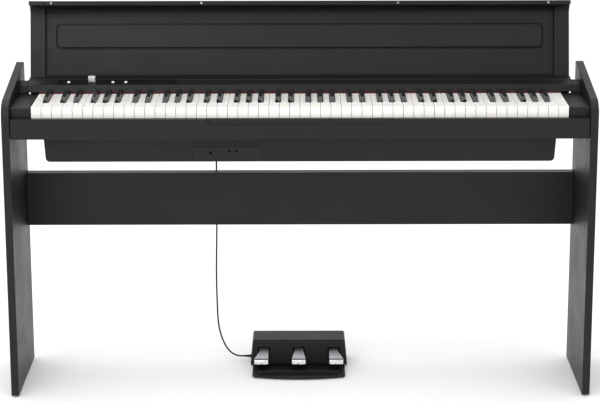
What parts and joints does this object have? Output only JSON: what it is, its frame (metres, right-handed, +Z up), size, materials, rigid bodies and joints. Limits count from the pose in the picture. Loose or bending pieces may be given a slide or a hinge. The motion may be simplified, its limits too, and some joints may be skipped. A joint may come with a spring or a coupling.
{
  "type": "digital piano on stand",
  "caption": "Full-size digital piano between flat side panels, with a fold-back lid, music rest, cross brace and a corded floor pedal unit.",
  "frame": {"origin": "on the floor, under the middle of the whole object's box", "axes": "+Z up, +X to the player's right along the keyboard, +Y away from the player"},
  "size_m": [1.3552, 0.2952, 0.899],
  "materials": {
    "panel": "satin black laminate on board, fine grain",
    "lid": "satin black laminate",
    "rest": "satin black laminate",
    "lid_strip": "matt black edging",
    "bed_wood": "raw dark board underside",
    "case": "matt black",
    "control": "satin black",
    "gloss": "polished black",
    "socket_panel": "fine-textured black",
    "rubber": "matt black rubber",
    "felt": "dark red felt",
    "frame": "moulded grey",
    "board": "solder mask",
    "speaker": "pressed steel and paper, black",
    "button": "white",
    "knob": "silver paint",
    "led": "dark red lens",
    "key_white": "satin white",
    "key_black": "satin black, fine matt grain",
    "hinge": "black coated steel",
    "steel": "zinc plated",
    "chrome": "chrome plate",
    "pedal_case": "textured black",
    "cord": "black jacket"
  },
  "bodies": {
    "root": {"side_panel_left": "panel", "side_panel_right": "panel", "cross_brace": "panel", "foot_glides": "rubber", "stand_bolts": "steel", "front_rail": "panel", "cheek_left": "panel", "cheek_right": "panel", "key_bed": "bed_wood", "lower_case": "case", "control_panel": "control", "panel_insert": "gloss", "rear_cover": "case", "jack_panel": "socket_panel", "sockets": "rubber", "key_felt": "felt", "action_frame": "frame", "key_pivot_rod": "steel", "contact_board": "board", "contact_domes": "rubber", "control_board": "board", "main_board": "board", "speaker_left": "speaker", "speaker_right": "speaker", "power_led": "led", "lid_pivot_pins": "hinge", "pedal_base": "pedal_case", "pedal_cover": "pedal_case", "pedal_feet": "rubber", "pedal_pivot_rod": "steel", "pedal_springs": "steel", "pedal_cord": "cord", "cord_plug": "cord", "cord_relief": "cord"},
    "lid": {"lid_panel": "lid", "lid_cap_left": "lid", "lid_cap_right": "lid", "lid_lip_strip": "lid_strip", "lid_screws": "steel", "lid_hinge_plates": "hinge"},
    "music_rest": {"music_rest": "rest"},
    "power_button": {"power_button": "button"},
    "song_button": {"song_button": "button"},
    "sound_button": {"sound_button": "button"},
    "volume_slider": {"volume_slider": "knob"},
    "soft_pedal": {"soft_pedal": "chrome"},
    "sostenuto_pedal": {"sostenuto_pedal": "chrome"},
    "damper_pedal": {"damper_pedal": "chrome"},
    "keys_c": {"keys_c": "key_white"},
    "keys_c_sharp": {"keys_c_sharp": "key_black"},
    "keys_d": {"keys_d": "key_white"},
    "keys_d_sharp": {"keys_d_sharp": "key_black"},
    "keys_e": {"keys_e": "key_white"},
    "keys_f": {"keys_f": "key_white"},
    "keys_f_sharp": {"keys_f_sharp": "key_black"},
    "keys_g": {"keys_g": "key_white"},
    "keys_g_sharp": {"keys_g_sharp": "key_black"},
    "keys_a": {"keys_a": "key_white"},
    "keys_a_sharp": {"keys_a_sharp": "key_black"},
    "keys_b": {"keys_b": "key_white"}
  },
  "joints": [
    {"name": "lid_hinge", "type": "hinge", "parent": "root", "child": "lid", "pos_m": [0, 0.06599, 0.7055], "axis": [-1, 0, 0], "range_deg": [-103.5, 0]},
    {"name": "music_rest_hinge", "type": "hinge", "parent": "lid", "child": "music_rest", "pos_m": [0, 0.12043, 0.78447], "axis": [1, 0, 0], "range_deg": [0, 90]},
    {"name": "c_press", "type": "hinge", "parent": "root", "child": "keys_c", "pos_m": [0, 0.05239, 0.68], "axis": [1, 0, 0], "range_deg": [0, 3.2], "stiffness_Nm_per_rad": 3, "springref_deg": -22.92},
    {"name": "c_sharp_press", "type": "hinge", "parent": "root", "child": "keys_c_sharp", "pos_m": [0, 0.05239, 0.68], "axis": [1, 0, 0], "range_deg": [0, 3.2], "stiffness_Nm_per_rad": 3, "springref_deg": -22.92},
    {"name": "d_press", "type": "hinge", "parent": "root", "child": "keys_d", "pos_m": [0, 0.05239, 0.68], "axis": [1, 0, 0], "range_deg": [0, 3.2], "stiffness_Nm_per_rad": 3, "springref_deg": -22.92},
    {"name": "d_sharp_press", "type": "hinge", "parent": "root", "child": "keys_d_sharp", "pos_m": [0, 0.05239, 0.68], "axis": [1, 0, 0], "range_deg": [0, 3.2], "stiffness_Nm_per_rad": 3, "springref_deg": -22.92},
    {"name": "e_press", "type": "hinge", "parent": "root", "child": "keys_e", "pos_m": [0, 0.05239, 0.68], "axis": [1, 0, 0], "range_deg": [0, 3.2], "stiffness_Nm_per_rad": 3, "springref_deg": -22.92},
    {"name": "f_press", "type": "hinge", "parent": "root", "child": "keys_f", "pos_m": [0, 0.05239, 0.68], "axis": [1, 0, 0], "range_deg": [0, 3.2], "stiffness_Nm_per_rad": 3, "springref_deg": -22.92},
    {"name": "f_sharp_press", "type": "hinge", "parent": "root", "child": "keys_f_sharp", "pos_m": [0, 0.05239, 0.68], "axis": [1, 0, 0], "range_deg": [0, 3.2], "stiffness_Nm_per_rad": 3, "springref_deg": -22.92},
    {"name": "g_press", "type": "hinge", "parent": "root", "child": "keys_g", "pos_m": [0, 0.05239, 0.68], "axis": [1, 0, 0], "range_deg": [0, 3.2], "stiffness_Nm_per_rad": 3, "springref_deg": -22.92},
    {"name": "g_sharp_press", "type": "hinge", "parent": "root", "child": "keys_g_sharp", "pos_m": [0, 0.05239, 0.68], "axis": [1, 0, 0], "range_deg": [0, 3.2], "stiffness_Nm_per_rad": 3, "springref_deg": -22.92},
    {"name": "a_press", "type": "hinge", "parent": "root", "child": "keys_a", "pos_m": [0, 0.05239, 0.68], "axis": [1, 0, 0], "range_deg": [0, 3.2], "stiffness_Nm_per_rad": 3, "springref_deg": -22.92},
    {"name": "a_sharp_press", "type": "hinge", "parent": "root", "child": "keys_a_sharp", "pos_m": [0, 0.05239, 0.68], "axis": [1, 0, 0], "range_deg": [0, 3.2], "stiffness_Nm_per_rad": 3, "springref_deg": -22.92},
    {"name": "b_press", "type": "hinge", "parent": "root", "child": "keys_b", "pos_m": [0, 0.05239, 0.68], "axis": [1, 0, 0], "range_deg": [0, 3.2], "stiffness_Nm_per_rad": 3, "springref_deg": -22.92},
    {"name": "soft_press", "type": "hinge", "parent": "root", "child": "soft_pedal", "pos_m": [0, 0.13239, 0.0335], "axis": [1, 0, 0], "range_deg": [0, 3.2], "stiffness_Nm_per_rad": 6, "springref_deg": -5.73},
    {"name": "sostenuto_press", "type": "hinge", "parent": "root", "child": "sostenuto_pedal", "pos_m": [0, 0.13239, 0.0335], "axis": [1, 0, 0], "range_deg": [0, 3.2], "stiffness_Nm_per_rad": 6, "springref_deg": -5.73},
    {"name": "damper_press", "type": "hinge", "parent": "root", "child": "damper_pedal", "pos_m": [0, 0.13239, 0.0335], "axis": [1, 0, 0], "range_deg": [0, 3.2], "stiffness_Nm_per_rad": 6, "springref_deg": -5.73},
    {"name": "power_push", "type": "slide", "parent": "root", "child": "power_button", "axis": [0, 0.2909, -0.9568], "range_m": [0, 0.0012], "stiffness_N_per_m": 300, "springref_m": -0.002},
    {"name": "song_push", "type": "slide", "parent": "root", "child": "song_button", "axis": [0, 0.2909, -0.9568], "range_m": [0, 0.0012], "stiffness_N_per_m": 300, "springref_m": -0.002},
    {"name": "sound_push", "type": "slide", "parent": "root", "child": "sound_button", "axis": [0, 0.2909, -0.9568], "range_m": [0, 0.0012], "stiffness_N_per_m": 300, "springref_m": -0.002},
    {"name": "volume_slide", "type": "slide", "parent": "root", "child": "volume_slider", "axis": [1, 0, 0], "range_m": [-0.02, 0.02]}
  ]
}
